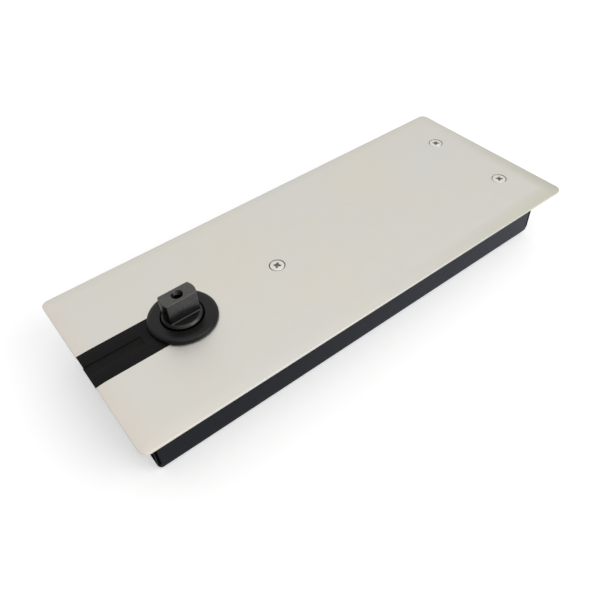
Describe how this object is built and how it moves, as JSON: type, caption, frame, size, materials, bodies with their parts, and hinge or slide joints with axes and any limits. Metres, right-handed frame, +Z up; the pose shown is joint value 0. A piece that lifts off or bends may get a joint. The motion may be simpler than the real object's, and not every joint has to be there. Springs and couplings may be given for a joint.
{
  "type": "floor spring door closer",
  "caption": "Shallow hydraulic floor spring with a flat-sided spindle, a slotted cover plate and a drawn steel cement box, for a double-action door.",
  "frame": {"origin": "on the underside of the cement box, directly below the middle of the cover plate", "axes": "+X along the plate from the spindle end to the far end, +Y across the plate, +Z up, out of the floor"},
  "size_m": [0.306, 0.125, 0.0583],
  "materials": {
    "stainless": "satin brushed",
    "bright_screw": "bright",
    "black_plastic": "fine matt grain",
    "black_paint": "semi-matt paint",
    "zinc_steel": "zinc plated",
    "cast_iron": "as cast, machined faces",
    "gasket": "fibre gasket",
    "black_screw": "black oxide",
    "black_oxide": "black oxide",
    "hardened_steel": "ground",
    "bronze": "turned",
    "bearing_steel": "polished",
    "rubber": "matt",
    "ptfe": "smooth",
    "spring_steel": "oil tempered",
    "copper": "soft annealed"
  },
  "bodies": {
    "housing": {"cover_plate": "stainless", "cover_screws": "bright_screw", "slot_insert": "black_plastic", "collar_ring": "black_plastic", "cement_box": "black_paint", "box_weld_nuts": "zinc_steel", "plate_bracket": "zinc_steel", "levelling_bushes": "zinc_steel", "clamp_bolts": "zinc_steel", "clamp_washers": "zinc_steel", "body_casting": "cast_iron", "body_gasket": "gasket", "body_lid": "cast_iron", "lid_screws": "black_screw", "lower_outer_race": "bearing_steel", "needle_cup": "bearing_steel", "spindle_seal": "rubber", "rod_bush": "bronze", "left_spring": "spring_steel", "right_spring": "spring_steel", "guide_rods": "hardened_steel", "spring_seats": "hardened_steel", "cylinder_plug": "zinc_steel", "plug_o_ring": "rubber", "valve_o_rings": "rubber", "filler_screw": "zinc_steel", "filler_seal": "copper", "gallery_plugs": "zinc_steel"},
    "spindle_unit": {"spindle": "black_oxide", "cam": "hardened_steel", "cam_key": "hardened_steel", "thrust_washer": "bronze", "lower_inner_race": "bearing_steel"},
    "ball_set": {"lower_balls": "bearing_steel", "lower_ball_cage": "bronze"},
    "needle_set": {"needles": "bearing_steel"},
    "carriage": {"roller_pin": "hardened_steel", "crosshead": "hardened_steel", "piston": "hardened_steel", "piston_ring": "ptfe", "check_valve_seat": "bronze"},
    "roller": {"follower_roller": "bearing_steel"},
    "check_ball_unit": {"check_ball": "bearing_steel"},
    "closing_valve_unit": {"closing_valve": "bronze"},
    "latching_valve_unit": {"latching_valve": "bronze"}
  },
  "joints": [
    {"name": "spindle_turn", "type": "hinge", "parent": "housing", "child": "spindle_unit", "pos_m": [-0.095, 0, 0.03], "axis": [0, 0, 1], "range_deg": [0, 130], "stiffness_Nm_per_rad": 6},
    {"name": "ball_set_orbit", "type": "hinge", "parent": "housing", "child": "ball_set", "pos_m": [-0.095, 0, 0.011], "axis": [0, 0, 1], "range_deg": [0, 52]},
    {"name": "needle_set_orbit", "type": "hinge", "parent": "housing", "child": "needle_set", "pos_m": [-0.095, 0, 0.0316], "axis": [0, 0, 1], "range_deg": [0, 62]},
    {"name": "carriage_slide", "type": "slide", "parent": "housing", "child": "carriage", "axis": [1, 0, 0], "range_m": [0, 0.0175], "deforming": ["left_spring", "right_spring"]},
    {"name": "roller_spin", "type": "hinge", "parent": "carriage", "child": "roller", "pos_m": [-0.067, 0, 0.0225], "axis": [0, 0, 1], "continuous": true},
    {"name": "check_ball_lift", "type": "slide", "parent": "carriage", "child": "check_ball_unit", "axis": [-1, 0, 0], "range_m": [0, 0.0015]},
    {"name": "closing_valve_turn", "type": "hinge", "parent": "housing", "child": "closing_valve_unit", "pos_m": [0.084, 0.0185, 0.03], "axis": [0, 0, 1], "range_deg": [-180, 360]},
    {"name": "latching_valve_turn", "type": "hinge", "parent": "housing", "child": "latching_valve_unit", "pos_m": [0.084, -0.0185, 0.03], "axis": [0, 0, 1], "range_deg": [-180, 360]}
  ],
  "couplings": [
    {"joint": "carriage_slide", "follows": "spindle_turn", "m_per_rad": 0.0075},
    {"joint": "ball_set_orbit", "follows": "spindle_turn", "ratio": 0.3769},
    {"joint": "needle_set_orbit", "follows": "spindle_turn", "ratio": 0.453}
  ]
}
